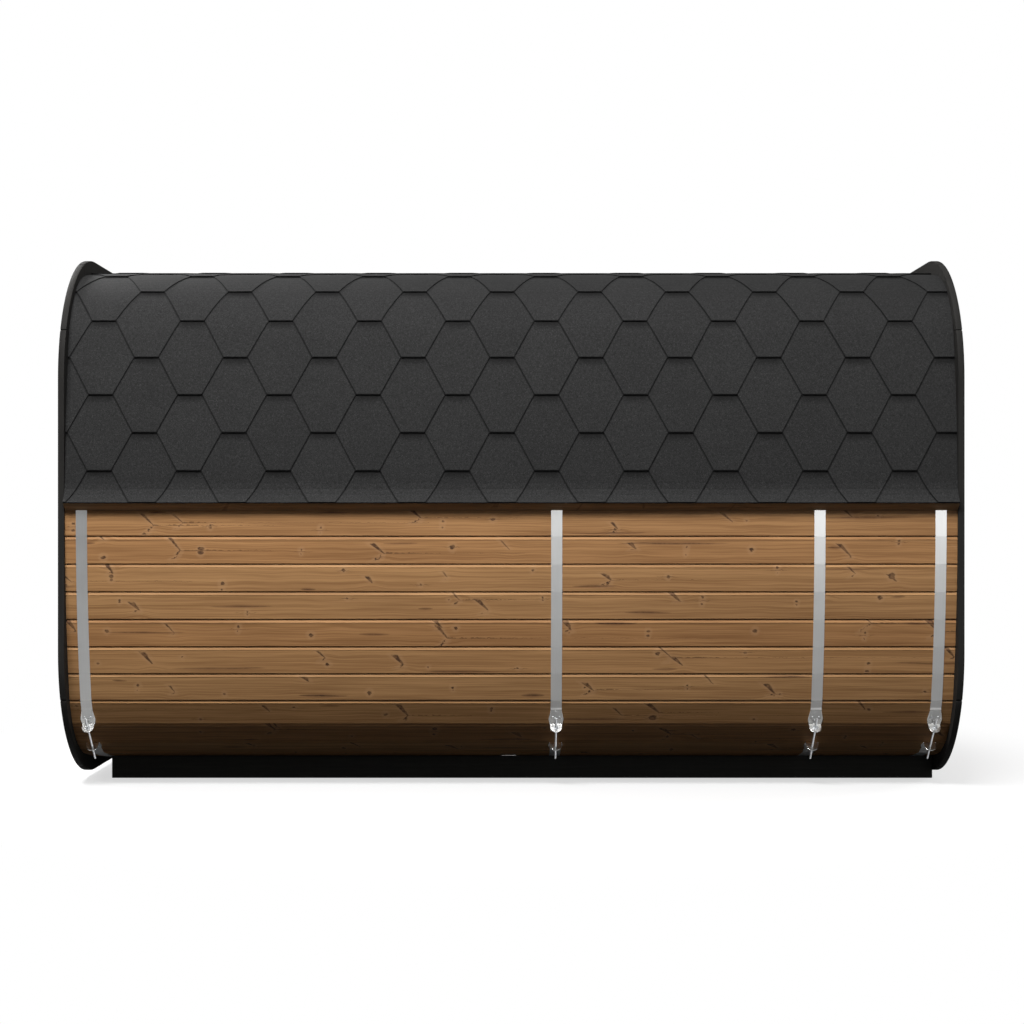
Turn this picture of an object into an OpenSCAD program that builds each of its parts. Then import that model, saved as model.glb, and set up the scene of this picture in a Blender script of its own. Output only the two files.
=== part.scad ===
// Cube sauna: a cabin of long staves laid round a rounded-square section and drawn together
// by steel straps, with a clad ring at each end, a roof of shingles and two base beams.
// X runs along the staves towards the porch, Y across, Z up. The origin is on the ground,
// under the middle of the building. Sections are drawn in [y, z] about the centre line.

/* [Overall] */
// Length over the outer faces of the end rings
length = 3500; // [2600:10:5000]
// Width and height over the end rings
ring_size = 2100; // [1700:10:2600]

/* [End rings] */
// Thickness of a ring board along the building
ring_t = 24; // [18:1:40]
// Width of a ring board, from its outer edge inwards
ring_w = 110; // [80:1:150]
// Radius of the ring's outer corners
ring_corner_r = 520; // [400:5:600]
// Height above and below the centre line at which side boards meet corner boards
ring_joint = 720; // [560:5:760]
// Bevel along the edges where ring boards meet
ring_bevel = 4; // [1:0.5:8]

/* [Stave shell] */
// Thickness of the staves
stave_t = 42; // [28:1:60]
// Width of one stave, before it is evened out round the shell
stave_w = 108; // [80:1:140]
// How far the staves lie inside the outer edge of the rings
ring_proud = 14; // [8:1:40]
// Radius to which the sides, roof and floor are bowed
bow_r = 3600; // [2800:50:9000]
// Radius of the shell's rounded corners
shell_corner_r = 350; // [260:5:420]

/* [Roofing] */
// Thickness of the shingles
shingle_t = 10; // [6:1:16]
// Height of the drip edge above the centre line
eave_z = 46; // [20:1:120]
// How far the drip edge stands out past the rings
eave_proud = 29; // [10:1:60]
// Height over which the shingles curve out to the drip edge
eave_rise = 74; // [50:1:120]
// Height of the sloping underside of the eave batten
eave_drop = 27; // [20:1:50]

/* [Straps] */
// Width of a strap
strap_w = 43; // [30:1:60]
// Thickness of a strap
strap_t = 1.5; // [1:0.1:3]
// Distance from the outer face of an end ring to the middle of the strap next to it
strap_end = 88; // [70:1:140]
// Distance from the front ring to the strap over the front wall
strap_wall = 556; // [300:1:900]
// Distance from the front ring to the strap about the middle
strap_mid = 1574; // [1200:1:2000]

/* [Tensioners] */
// Thickness of a bracket
bracket_t = 3; // [2:0.5:5]
// Width of a bracket's upright lug
lug_w = 46; // [40:1:52]
// Width of the foot at the fold that the lug stands on
fold_w = 49; // [44:1:56]
// Distance from the staves to the hole in the lug
lug_h = 20; // [16:1:30]
// Widest part of a bracket's foot
foot_w = 59; // [50:1:75]
// Distance from the fold to the widest part of the foot, where the strap ends
foot_wide = 25; // [18:1:35]
// Length of the foot, from the fold
foot_l = 67; // [50:1:90]
// Diameter of the tension rod
rod_d = 8; // [6:1:12]
// Rod left over above the upper lug
rod_over = 52; // [40:1:80]
// Rod left over below the lower lug
rod_under = 74; // [40:1:90]
// Width of a nut across its flats
nut_af = 13; // [10:1:19]
// Height of a nut
nut_h = 6.5; // [4:0.5:12]
// Diameter of a washer
washer_d = 22; // [16:1:30]
// Thickness of a washer
washer_t = 2; // [1:0.5:3]
// Diameter of a rivet head
rivet_d = 9; // [6:1:14]

/* [Base] */
// Distance from the centre line to the outer side of a base beam
beam_y = 618; // [500:1:700]
// Width of a base beam
beam_w = 95; // [60:1:120]
// Height of the building's centre line above the ground, less half the ring
ring_lift = 26; // [20:1:80]
// Distance from the rear ring to the rear end of the beams
beam_back = 89; // [20:1:300]
// Length of a packing plate between beam and staves
packing_l = 57; // [40:1:100]
// Distance from the front ring to the packing plate
packing_x = 1760; // [1500:10:2000]

/* [Walls and door] */
// Thickness of the end walls
wall_t = 42; // [28:1:60]
// Depth of the groove in the staves that holds a wall
croze = 8; // [4:1:15]
// Width of the glass door
door_w = 640; // [560:5:760]
// Height of the glass door
door_h = 1640; // [1200:5:1700]
// Thickness of the glass
glass_t = 8; // [6:1:12]
// Face width of the door frame
frame_w = 45; // [35:1:70]
// How far the door frame stands out of the wall
frame_proud = 8; // [4:1:20]
// Gap between the glass and its frame
door_gap = 4; // [2:0.5:6]
// How far the door stop reaches in behind the glass
stop_w = 14; // [8:1:20]
// Gap between the glass and the stop, filled by the seal
stop_gap = 2; // [1:0.5:4]
// Diameter of a grip
grip_d = 30; // [20:1:40]
// Length of a grip
grip_l = 320; // [200:5:600]
// Width of the hinge leaf that lies on the glass, doubled
hinge_w = 90; // [60:5:140]
// Height of a hinge
hinge_h = 60; // [40:5:120]
// Thickness of a hinge leaf
hinge_t = 5; // [3:0.5:8]
// Distance from the ends of the glass to the middle of the hinges
hinge_in = 220; // [100:10:400]

/* [Floor] */
// Height of the deck above the inside of the lowest stave
deck_h = 92; // [70:1:160]
// Thickness of the deck
deck_t = 28; // [20:1:40]
// Width of a bearer under the deck
bearer_w = 45; // [35:1:70]
// Distance between bearers, before it is evened out
bearer_pitch = 600; // [400:10:800]

/* [Hidden] */

wood = "peru";
black = "#26262a";
steel = "silver";

// The building's ends, centre height and shell
end_x = length / 2;
stave_x = end_x - ring_t;
ring_half = ring_size / 2;
axis_z = ring_half + ring_lift;
shell_half = ring_half - ring_proud;

// The shell's outline: each side is an arc of bow_r about a centre beyond the middle, and
// each corner an arc of shell_corner_r about [corner_c, corner_c], and the two meet smoothly.
bow_a = acos((bow_r - shell_half) / (bow_r - shell_corner_r) / sqrt(2)) - 45;
corner_c = (bow_r - shell_corner_r) * sin(bow_a);
bow_l = bow_r * bow_a * PI / 180;
quarter = 2 * (bow_l + shell_corner_r * (45 - bow_a) * PI / 180);

// The count of staves is four times a whole number and three more, so that one stave lies
// at the middle of the roof and a joint at the middle of the floor.
staves = 4 * round((4 * quarter / stave_w - 3) / 4) + 3;
pitch = 4 * quarter / staves;
last = (staves - 1) / 2;

// A point of the outline at a distance from the middle of a side: [out from the side, along it]
function half_arc(s) =
    s < bow_l
    ? let (a = s / bow_r * 180 / PI) [shell_half - bow_r + bow_r * cos(a), bow_r * sin(a)]
    : let (a = bow_a + (s - bow_l) / shell_corner_r * 180 / PI)
      [corner_c + shell_corner_r * cos(a), corner_c + shell_corner_r * sin(a)];
function quarter_arc(s) =
    s <= quarter / 2 ? half_arc(s) : let (p = half_arc(quarter - s)) [p[1], p[0]];

// The near outer edge between two staves, counted from the top stave down to the floor
function near_edge(i) =
    let (s = (i + 0.5) * pitch)
    s < quarter
    ? let (p = quarter_arc(quarter - s)) [-p[0], p[1]]
    : let (p = quarter_arc(s - quarter)) [-p[0], -p[1]];
function flip(p) = [-p[0], p[1]];
function edge(i) = i < 0 ? flip(near_edge(-1 - i)) : i > last ? flip(near_edge(2 * last - i)) : near_edge(i);

// Unit vector down the face of the stave that follows edge i, and the one out of that face
function unit(v) = v / norm(v);
function face_dir(i) = unit(edge(i + 1) - edge(i));
function face_out(i) = let (d = face_dir(i)) [d[1], -d[0]];
// Edge i moved out of the staves by t, or into them where t is negative
function edge_at(i, t) =
    let (a = face_out(i - 1), b = face_out(i))
    edge(i) + t * (a + b) / (1 + a * b);
function edges_at(i, j, t) = [for (k = [i : j]) edge_at(k, t)];
function reversed(list) = [for (k = [len(list) - 1 : -1 : 0]) list[k]];
// The whole outline of the shell, moved out by t
function outline(t) = edges_at(-last, last, t);

// Edges at which the shell's panels meet, next to where bowed sides meet round corners
high_in = round(bow_l / pitch - 0.5);
high_out = round((quarter - bow_l) / pitch - 0.5);
low_out = round((quarter + bow_l) / pitch - 0.5);
low_in = round((2 * quarter - bow_l) / pitch - 0.5);

// The stave face that the tensioners span: the first whose middle hangs over by 30 degrees
span = [for (k = [low_out - 2 : low_in]) if (face_out(k)[1] < -0.5) k][0];

// The curve of the shingles out to the drip edge: [out, height] for u from 0 at its top
eave_out = ring_half + eave_proud;
eave_steps = 6;
function side_at(z) = shell_half - bow_r + sqrt(bow_r * bow_r - z * z);
function eave_curve(u, t) =
    let (z = eave_z + eave_rise * (1 - u), wall = side_at(z) + t)
    [-(wall + (eave_out - shingle_t - side_at(eave_z)) * u * u), z];
function eave_line(t) = [for (k = [0 : eave_steps]) eave_curve(k / eave_steps, t)];
// The last edge above the eave
eave_edge = [for (k = [high_out : last]) if (edge(k + 1)[1] < eave_z + eave_rise) k][0];

// Straps from rear to front, and the end walls under two of them
strap_x = [-end_x + strap_end, end_x - strap_mid, end_x - strap_wall, end_x - strap_end];
rear_wall_x = strap_x[0];
front_wall_x = strap_x[2];

// The deck and the door that stands on it, about the centre line
deck_z = -shell_half + stave_t + deck_h;
frame_half = door_w / 2 + door_gap + frame_w;
frame_top = deck_z + door_h + 2 * (door_gap + frame_w);
glass_z = deck_z + frame_w + door_gap;
frame_face = front_wall_x + wall_t / 2 + frame_proud;

// Extrudes a section in [y, z] about the centre line from x0 to x1
module along_x(x0, x1) {
    translate([x0, 0, axis_z])
    rotate([90, 0, 90])
    linear_extrude(x1 - x0)
    children();
}

// Repeats what it is given on the far side
module far_side() {
    mirror([0, 1, 0])
    children();
}

// The groove that holds a wall in the staves between edges i and j, and runs on past both
module wall_groove(i, j, x) {
    depth = croze - stave_t;
    along_x(x - wall_t / 2, x + wall_t / 2)
    polygon(concat(
        [edge_at(i, depth) - stave_t * face_dir(i)],
        edges_at(i + 1, j - 1, depth),
        [edge_at(j, depth) + stave_t * face_dir(j - 1)],
        [[0, 0]]
    ));
}

// A strip of staves between edges i and j
module stave_panel(i, j) {
    color(wood)
    difference() {
        along_x(-stave_x, stave_x)
        polygon(concat(edges_at(i, j, 0), reversed(edges_at(i, j, -stave_t))));
        wall_groove(i, j, rear_wall_x);
        wall_groove(i, j, front_wall_x);
    }
}

module shell_floor() { stave_panel(low_in, 2 * last - low_in); }
module shell_ceiling() { stave_panel(-1 - high_in, high_in); }
module shell_side_near() { stave_panel(high_out, low_out); }
module shell_side_far() { far_side() shell_side_near(); }
module shell_corner_low_near() { stave_panel(low_out, low_in); }
module shell_corner_low_far() { far_side() shell_corner_low_near(); }
module shell_corner_high_near() { stave_panel(high_in, high_out); }
module shell_corner_high_far() { far_side() shell_corner_high_near(); }

// A square with round corners, as a section
module rounded_square(half, r) {
    square([2 * half, 2 * (half - r)], center = true);
    square([2 * (half - r), 2 * half], center = true);
    for (a = [0 : 90 : 270])
    rotate(a)
    translate([half - r, half - r])
    circle(r, $fn = 96);
}

// A whole end ring whose inner face is at x0
module ring(x0) {
    along_x(x0, x0 + ring_t)
    difference() {
        rounded_square(ring_half, ring_corner_r);
        rounded_square(ring_half - ring_w, ring_corner_r - ring_w);
    }
}

// A block that cuts the near board of a ring's four sides out of it, with bevelled ends
module side_block(x0) {
    reach = ring_half + 1;
    inner = ring_half - 2 * ring_w;
    along_x(x0 - 1, x0 + ring_t + 1)
    polygon([
        [-inner, ring_joint], [-inner, -ring_joint],
        [ring_bevel - side_at_ring(ring_joint), -ring_joint],
        [-reach, ring_bevel + reach - side_at_ring(ring_joint) - ring_joint],
        [-reach, ring_joint - ring_bevel - reach + side_at_ring(ring_joint)],
        [ring_bevel - side_at_ring(ring_joint), ring_joint]
    ]);
}

// How far out the ring's outer edge is at a height past the start of its corners
function side_at_ring(z) =
    let (c = ring_half - ring_corner_r)
    c + sqrt(ring_corner_r * ring_corner_r - max(z - c, 0) * max(z - c, 0));

// The four boards along the sides of a ring are one shape turned about the centre line
module ring_side(x0, turn) {
    color(black)
    intersection() {
        ring(x0);
        translate([0, 0, axis_z])
        rotate([turn, 0, 0])
        translate([0, 0, -axis_z])
        side_block(x0);
    }
}

// A block that leaves a ring's near low corner between its side and bottom boards
module corner_block(x0) {
    out = side_at_ring(ring_joint);
    reach = ring_half + 1;
    along_x(x0 - 1, x0 + ring_t + 1)
    polygon([
        [-ring_joint, -ring_joint],
        [ring_bevel - out, -ring_joint],
        [-reach, -ring_joint - ring_bevel - reach + out],
        [-reach, -reach],
        [-ring_joint - ring_bevel - reach + out, -reach],
        [-ring_joint, ring_bevel - out]
    ]);
}

module ring_corners(x0) {
    color(black)
    for (turn = [0 : 90 : 270])
    intersection() {
        ring(x0);
        translate([0, 0, axis_z])
        rotate([turn, 0, 0])
        translate([0, 0, -axis_z])
        corner_block(x0);
    }
}

module front_ring_sides() { ring_side(stave_x, 0); ring_side(stave_x, 180); }
module front_ring_top() { ring_side(stave_x, 270); }
module front_ring_bottom() { ring_side(stave_x, 90); }
module front_ring_corners() { ring_corners(stave_x); }
module rear_ring_sides() { ring_side(-end_x, 0); ring_side(-end_x, 180); }
module rear_ring_top() { ring_side(-end_x, 270); }
module rear_ring_bottom() { ring_side(-end_x, 90); }
module rear_ring_corners() { ring_corners(-end_x); }

// The shingles of the near slope, from the middle of the roof to the drip edge
module roofing_near() {
    ridge = [0, edge_at(0, 0)[1]];
    color("#303032")
    difference() {
        along_x(-stave_x, stave_x)
        polygon(concat(
            [ridge], edges_at(0, eave_edge, 0), eave_line(0),
            reversed(eave_line(shingle_t)), reversed(edges_at(0, eave_edge, shingle_t)),
            [ridge + [0, shingle_t]]
        ));
        strap_bands(strap_w);
    }
}

module roofing_far() { far_side() roofing_near(); }

// A batten under the drip edge, whose underside slopes back to the staves
module eave_batten() {
    foot = [-side_at(eave_z - eave_drop), eave_z - eave_drop];
    drip = eave_curve(1, 0);
    back = [-side_at(eave_z) + stave_t / 2, eave_z + eave_rise];
    color(wood)
    difference() {
        along_x(-stave_x, stave_x)
        polygon(concat(eave_line(0), [foot, foot + unit(foot - drip) * stave_t / 2, back]));
        along_x(-end_x, end_x)
        polygon(outline(0));
        strap_bands(strap_w);
    }
}

module eave_battens() { eave_batten(); far_side() eave_batten(); }

// Spots on a bracket's foot: u along the staves away from the fold, v out from them
function upper_spot(u, v) = edge(span) - u * face_dir(span - 1) + v * face_out(span - 1);
function lower_spot(u, v) = edge(span + 1) + u * face_dir(span + 1) + v * face_out(span + 1);

// Sections of a strap: flat on the staves, and lifted at its ends over the brackets' feet
strap_ramp = 3 * bracket_t;
upper_in = concat(
    [upper_spot(foot_wide, bracket_t), upper_spot(foot_l, bracket_t), upper_spot(foot_l, 0)],
    reversed(edges_at(0, span - 1, 0))
);
upper_out = concat(
    [upper_spot(foot_wide, bracket_t + strap_t), upper_spot(foot_l + strap_t, bracket_t + strap_t)],
    [upper_spot(foot_l + strap_ramp, strap_t)],
    reversed(edges_at(0, span - 1, strap_t))
);
lower_in = concat(
    [lower_spot(foot_wide, bracket_t), lower_spot(foot_l, bracket_t), lower_spot(foot_l, 0)],
    edges_at(span + 2, last, 0)
);
lower_out = concat(
    [lower_spot(foot_wide, bracket_t + strap_t), lower_spot(foot_l + strap_t, bracket_t + strap_t)],
    [lower_spot(foot_l + strap_ramp, strap_t)],
    edges_at(span + 2, last, strap_t)
);
function flipped(list) = [for (p = list) flip(p)];
function first_points(list, n) = [for (k = [0 : n - 1]) list[k]];

module upper_strap(x, width) {
    along_x(x - width / 2, x + width / 2)
    polygon(concat(upper_in, reversed(flipped(upper_in)), flipped(upper_out), reversed(upper_out)));
}

module lower_strap(x, width) {
    // The far half leaves out the point on the centre line, which the near half has
    far_in = flipped(first_points(lower_in, len(lower_in) - 1));
    far_out = flipped(first_points(lower_out, len(lower_out) - 1));
    along_x(x - width / 2, x + width / 2)
    polygon(concat(lower_in, reversed(far_in), far_out, reversed(lower_out)));
}

// The straps' room under the roofing
module strap_bands(width) {
    for (x = strap_x)
    upper_strap(x, width);
}

module strap(x) {
    color(steel) {
        upper_strap(x, strap_w);
        lower_strap(x, strap_w);
    }
}

module strap_rear() { strap(strap_x[0]); }
module strap_middle() { strap(strap_x[1]); }
module strap_wall() { strap(strap_x[2]); }
module strap_front() { strap(strap_x[3]); }

// Draws at edge i, turned so that Y runs up the face j of the staves and Z out of it
module on_face(i, j, x) {
    translate([x, edge(i)[0], axis_z + edge(i)[1]])
    rotate([atan2(-face_dir(j)[1], -face_dir(j)[0]), 0, 0])
    children();
}

// A bracket's foot, running up from its fold
module foot_plate() {
    linear_extrude(bracket_t)
    polygon([
        [-fold_w / 2, 0], [-foot_w / 2, foot_wide], [-strap_w / 2, foot_l],
        [strap_w / 2, foot_l], [foot_w / 2, foot_wide], [fold_w / 2, 0]
    ]);
}

// A bracket's lug: a round-ended plate that stands on the staves, with a hole for the rod
module lug_plate() {
    rotate([90, 0, 0])
    linear_extrude(bracket_t)
    difference() {
        intersection() {
            union() {
                circle(d = lug_w, $fn = 64);
                translate([-lug_w / 2, -lug_h])
                square([lug_w, lug_h]);
            }
            translate([-lug_w, -lug_h])
            square(2 * lug_w);
        }
        circle(d = rod_d + 1, $fn = 48);
    }
}

module tension_brackets(x) {
    color(steel) {
        on_face(span, span - 1, x) foot_plate();
        on_face(span, span, x) translate([0, bracket_t, lug_h]) lug_plate();
        on_face(span + 1, span + 1, x) mirror([0, 1, 0]) foot_plate();
        on_face(span + 1, span, x) translate([0, 0, lug_h]) lug_plate();
    }
}

// A round bar down the stave face from y0 to y1
module bar_down(y0, y1, d) {
    translate([0, y0, lug_h])
    rotate([90, 0, 0])
    cylinder(d = d, h = y0 - y1, $fn = 48);
}

span_l = norm(edge(span + 1) - edge(span));
module tension_rod(x) {
    color(steel)
    on_face(span, span, x)
    bar_down(bracket_t + rod_over, -span_l - bracket_t - rod_under, rod_d);
}

// A washer and a nut, which stand up from the lug below them
module nut_set() {
    difference() {
        union() {
            rotate([-90, 0, 0])
            cylinder(d = washer_d, h = washer_t, $fn = 48);
            translate([0, washer_t, 0])
            rotate([-90, 0, 0])
            cylinder(d = nut_af / cos(30), h = nut_h, $fn = 6);
        }
        rotate([-90, 0, 0])
        cylinder(d = rod_d, h = 3 * (washer_t + nut_h), center = true, $fn = 48);
    }
}

module rivet_pair() {
    for (side = [-1, 1])
    translate([side * strap_w * 0.3, foot_wide + rivet_d, bracket_t + strap_t])
    cylinder(d1 = rivet_d, d2 = rivet_d * 0.7, h = 2, $fn = 32);
}

module tension_nuts(x) {
    color(steel) {
        on_face(span, span, x) translate([0, bracket_t, lug_h]) nut_set();
        on_face(span + 1, span, x) translate([0, -bracket_t, lug_h]) mirror([0, 1, 0]) nut_set();
        on_face(span, span - 1, x) rivet_pair();
        on_face(span + 1, span + 1, x) mirror([0, 1, 0]) rivet_pair();
    }
}

module tension_brackets_near() { for (x = strap_x) tension_brackets(x); }
module tension_brackets_far() { far_side() tension_brackets_near(); }
module tension_rods_near() { for (x = strap_x) tension_rod(x); }
module tension_rods_far() { far_side() tension_rods_near(); }
module tension_nuts_near() { for (x = strap_x) tension_nuts(x); }
module tension_nuts_far() { far_side() tension_nuts_near(); }

// A block about the centre line, from one corner to the other
module block(a, b) {
    translate([a[0], a[1], a[2] + axis_z])
    cube(b - a);
}

// A beam with its top cut to the staves, a strap's thickness below them
module base_beam_near() {
    color(black)
    difference() {
        block([-stave_x + beam_back, -beam_y, -axis_z], [stave_x, beam_w - beam_y, -shell_half + 2 * beam_w]);
        along_x(-end_x, end_x)
        polygon(outline(strap_t));
    }
}

module base_beam_far() { far_side() base_beam_near(); }

// A steel plate that fills the gap between beam and staves
module packing_plate() {
    x = end_x - packing_x;
    color(steel)
    difference() {
        intersection() {
            along_x(x - packing_l / 2, x + packing_l / 2)
            polygon(outline(strap_t));
            block([-end_x, -beam_y, -axis_z], [end_x, beam_w - beam_y, 0]);
        }
        along_x(-end_x, end_x)
        polygon(outline(0));
    }
}

module packing_plates() { packing_plate(); far_side() packing_plate(); }

// The space inside the staves between two places along the building
module inside(x0, x1) {
    along_x(x0, x1)
    polygon(outline(-stave_t));
}

// A whole end wall, let into the staves by the depth of its groove
module wall_plate(x) {
    along_x(x - wall_t / 2, x + wall_t / 2)
    polygon(outline(croze - stave_t));
}

module rear_wall() {
    color(wood)
    wall_plate(rear_wall_x);
}

module front_wall_near() {
    color(wood)
    intersection() {
        wall_plate(front_wall_x);
        block([-end_x, -ring_half, -ring_half], [end_x, -frame_half, ring_half]);
    }
}

module front_wall_far() { far_side() front_wall_near(); }

module front_wall_top() {
    color(wood)
    intersection() {
        wall_plate(front_wall_x);
        block([-end_x, -frame_half, frame_top], [end_x, frame_half, ring_half]);
    }
}

module front_wall_base() {
    color(wood)
    intersection() {
        wall_plate(front_wall_x);
        block([-end_x, -frame_half, -ring_half], [end_x, frame_half, deck_z]);
    }
}

// A frame let into the wall, with a pocket for the glass and a stop behind it
module door_frame() {
    pocket = door_w / 2 + door_gap;
    pocket_z = [deck_z + frame_w, frame_top - frame_w];
    color(black)
    difference() {
        block([front_wall_x - wall_t / 2, -frame_half, deck_z], [frame_face, frame_half, frame_top]);
        block([front_wall_x - wall_t, stop_w - pocket, pocket_z[0] + stop_w],
              [frame_face + wall_t, pocket - stop_w, pocket_z[1] - stop_w]);
        block([frame_face - glass_t - stop_gap, -pocket, pocket_z[0]],
              [frame_face + wall_t, pocket, pocket_z[1]]);
    }
}

module door_glass() {
    color("#5a6468", 0.5)
    block([frame_face - glass_t, -door_w / 2, glass_z], [frame_face, door_w / 2, glass_z + door_h]);
}

// A round grip on two posts that stand on the glass, with Z up and X away from the glass
module grip() {
    post_l = 1.5 * grip_d;
    translate([post_l, 0, -grip_l / 2])
    cylinder(d = grip_d, h = grip_l, $fn = 48);
    for (side = [-1, 1])
    translate([0, 0, side * grip_l * 0.36])
    rotate([0, 90, 0])
    cylinder(d = grip_d / 2, h = post_l, $fn = 48);
}

module door_grips() {
    grip_y = -door_w / 2 + 2 * grip_d;
    grip_z = axis_z + glass_z + door_h / 2;
    color(wood) {
        translate([frame_face, grip_y, grip_z]) grip();
        translate([frame_face - glass_t, grip_y, grip_z]) mirror([1, 0, 0]) grip();
    }
}

// A leaf on the glass and one on the frame, with the knuckle over the gap between them
module hinge(z) {
    block([frame_face, door_w / 2 - hinge_w / 2, z - hinge_h / 2],
          [frame_face + hinge_t, door_w / 2 + door_gap + frame_w * 0.8, z + hinge_h / 2]);
    translate([frame_face + hinge_t, (door_w + door_gap) / 2, axis_z + z - hinge_h / 2])
    cylinder(d = 2 * hinge_t, h = hinge_h, $fn = 32);
}

module door_hinges() {
    color(steel) {
        hinge(glass_z + hinge_in);
        hinge(glass_z + door_h - hinge_in);
    }
}

module deck(x0, x1) {
    color(wood)
    intersection() {
        inside(x0, x1);
        block([-end_x, -ring_half, deck_z - deck_t], [end_x, ring_half, deck_z]);
    }
}

room_x = [rear_wall_x + wall_t / 2, front_wall_x - wall_t / 2];
porch_x = [front_wall_x + wall_t / 2, stave_x];
module floor_deck() { deck(room_x[0], room_x[1]); }
module porch_deck() { deck(porch_x[0], porch_x[1]); }

// Bearers from one end of a room to the other, cut to the staves that they stand on
module bearers(ends) {
    count = max(2, round((ends[1] - ends[0]) / bearer_pitch) + 1);
    step = (ends[1] - ends[0] - bearer_w) / (count - 1);
    for (k = [0 : count - 1])
    intersection() {
        inside(ends[0] + k * step, ends[0] + k * step + bearer_w);
        block([-end_x, -ring_half, -ring_half], [end_x, ring_half, deck_z - deck_t]);
    }
}

module deck_bearers() {
    color(wood) {
        bearers(room_x);
        bearers(porch_x);
    }
}

shell_floor();
shell_ceiling();
shell_side_near();
shell_side_far();
shell_corner_low_near();
shell_corner_low_far();
shell_corner_high_near();
shell_corner_high_far();
front_ring_sides();
front_ring_top();
front_ring_bottom();
front_ring_corners();
rear_ring_sides();
rear_ring_top();
rear_ring_bottom();
rear_ring_corners();
roofing_near();
roofing_far();
eave_battens();
strap_rear();
strap_middle();
strap_wall();
strap_front();
tension_brackets_near();
tension_brackets_far();
tension_rods_near();
tension_rods_far();
tension_nuts_near();
tension_nuts_far();
base_beam_near();
base_beam_far();
packing_plates();
rear_wall();
front_wall_near();
front_wall_far();
front_wall_top();
front_wall_base();
door_frame();
door_glass();
door_grips();
door_hinges();
floor_deck();
porch_deck();
deck_bearers();
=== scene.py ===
"""The looks of a cube sauna built of staves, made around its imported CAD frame.

The building runs along X with its porch at +X, Y runs across it and Z is up. The side
towards -Y is the near side. Everything is in metres.
"""

import logging
import math
from collections.abc import Callable, Iterable, Sequence
from dataclasses import dataclass, field
from enum import Enum
from functools import partial

import bmesh
import bpy
from mathutils import Matrix, Vector


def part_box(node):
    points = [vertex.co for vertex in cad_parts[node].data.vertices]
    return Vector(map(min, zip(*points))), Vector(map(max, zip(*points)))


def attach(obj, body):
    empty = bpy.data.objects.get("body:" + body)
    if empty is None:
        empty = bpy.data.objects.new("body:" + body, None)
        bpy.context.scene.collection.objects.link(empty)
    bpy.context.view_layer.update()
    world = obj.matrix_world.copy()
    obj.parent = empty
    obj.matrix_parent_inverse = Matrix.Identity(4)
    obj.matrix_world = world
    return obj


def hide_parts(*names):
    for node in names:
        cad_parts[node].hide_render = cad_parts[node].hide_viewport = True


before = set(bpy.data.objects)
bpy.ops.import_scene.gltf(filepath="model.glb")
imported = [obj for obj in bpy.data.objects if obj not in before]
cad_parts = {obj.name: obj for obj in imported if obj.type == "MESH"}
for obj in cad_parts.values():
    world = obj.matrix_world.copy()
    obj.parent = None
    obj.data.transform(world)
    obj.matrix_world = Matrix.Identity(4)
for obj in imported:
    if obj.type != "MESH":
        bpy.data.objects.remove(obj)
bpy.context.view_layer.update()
MM = 0.001

log = logging.getLogger("sauna")
BMesh, BMFace = bmesh.types.BMesh, bmesh.types.BMFace
BMEdge, BMVert = bmesh.types.BMEdge, bmesh.types.BMVert
Colour = tuple[float, float, float]
WHITE: Colour = (1.0, 1.0, 1.0)
X_WAY, Y_WAY, Z_WAY = Vector((1, 0, 0)), Vector((0, 1, 0)), Vector((0, 0, 1))


def paint(red: int, green: int, blue: int) -> Colour:
    """Turns a display colour, of shares from 0 to 255, into the linear one that nodes use."""
    shares = [c / 255 for c in (red, green, blue)]
    return tuple(s / 12.92 if s <= 0.04045 else ((s + 0.055) / 1.055) ** 2.4 for s in shares)


def operator(operation: str, swapped: bool = False) -> Callable[..., "Wire"]:
    """A method that adds one Math node.

    Args:
        operation: What the node does.
        swapped: Whether the other number comes first.

    Returns:
        The method.
    """
    def method(self: "Wire", *others: "Wire | float") -> "Wire":
        """This wire's output, put through the node."""
        terms = (*others, self) if swapped else (self, *others)
        made = self.recipe.node("ShaderNodeMath", {"operation": operation}, dict(enumerate(terms)))
        return Wire(self.recipe, made.outputs[0])
    return method


class Wire:
    """A node's output, which can be used in sums."""

    def __init__(self, recipe: "Recipe", socket: bpy.types.NodeSocket) -> None:
        """Keeps the socket and the recipe that it belongs to."""
        self.recipe = recipe
        self.socket = socket

    __add__ = __radd__ = operator("ADD")
    __mul__ = __rmul__ = operator("MULTIPLY")
    __sub__, __rsub__ = operator("SUBTRACT"), operator("SUBTRACT", swapped=True)
    __truediv__ = operator("DIVIDE")
    __pow__ = operator("POWER")
    __abs__ = operator("ABSOLUTE")
    floor = operator("FLOOR")
    least = operator("MINIMUM")
    most = operator("MAXIMUM")
    over = operator("GREATER_THAN")

    def fade(self, start: float, end: float) -> "Wire":
        """Eases from nought at start to one at end."""
        ends = {0: self, 1: start, 2: end, 3: 0.0, 4: 1.0}
        return self.recipe.wire("ShaderNodeMapRange", {"interpolation_type": "SMOOTHSTEP"}, ends)


Number = Wire | float
Trio = tuple[Wire, Wire, Wire]


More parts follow.
